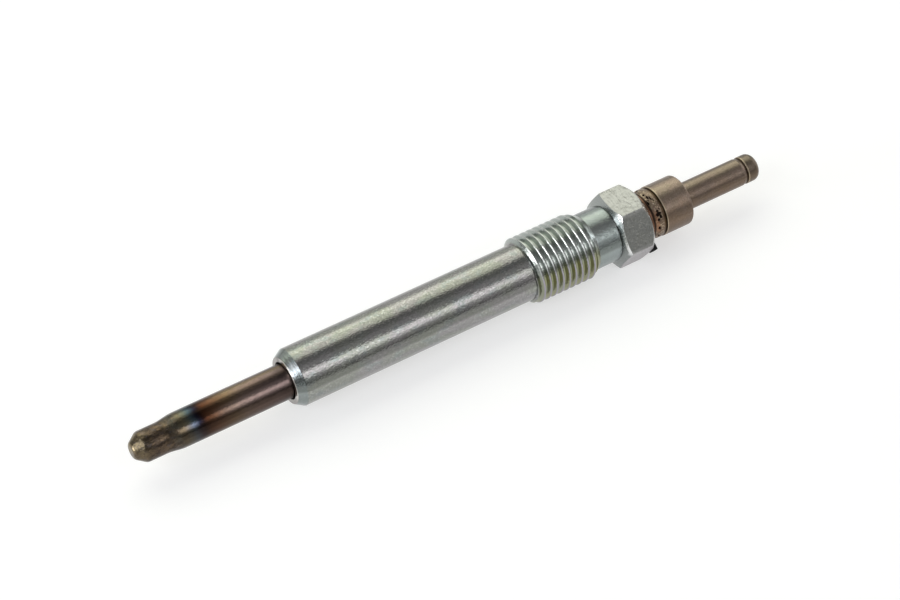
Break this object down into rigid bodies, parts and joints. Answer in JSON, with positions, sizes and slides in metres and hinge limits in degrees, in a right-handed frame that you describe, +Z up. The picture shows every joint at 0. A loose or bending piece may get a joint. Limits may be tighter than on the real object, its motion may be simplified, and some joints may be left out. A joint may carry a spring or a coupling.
{
  "type": "diesel glow plug",
  "caption": "Pencil glow plug for a diesel engine: a sheathed heater rod pressed into a threaded steel shell with a cone seat and hexagon, and a push-on terminal pin.",
  "frame": {"origin": "on the surface that the lower flat of the hexagon rests on, below the middle of the plug's length", "axes": "+X along the plug's axis towards the terminal, +Z up, square to one flat of the hexagon"},
  "size_m": [0.1208, 0.0138, 0.012],
  "materials": {
    "plated_steel": "zinc plated, turned, satin",
    "heat_tinted_alloy": "nickel alloy with brown, straw and blue heat tint",
    "resistance_wire": "drawn wire",
    "ceramic_powder": "packed magnesia powder",
    "rod_steel": "turned steel",
    "seal_rubber": "black elastomer",
    "black_plastic": "black moulded plastic",
    "brown_metal": "turned metal, satin, brown-grey"
  },
  "bodies": {
    "root": {"shell": "plated_steel", "heater_sheath": "heat_tinted_alloy", "heating_coil": "resistance_wire", "regulating_coil": "resistance_wire", "insulating_powder": "ceramic_powder", "connecting_rod": "rod_steel", "sheath_seal": "seal_rubber", "o_ring": "seal_rubber", "insulating_bush": "black_plastic", "clamp_ring": "brown_metal", "terminal": "brown_metal"}
  },
  "joints": []
}
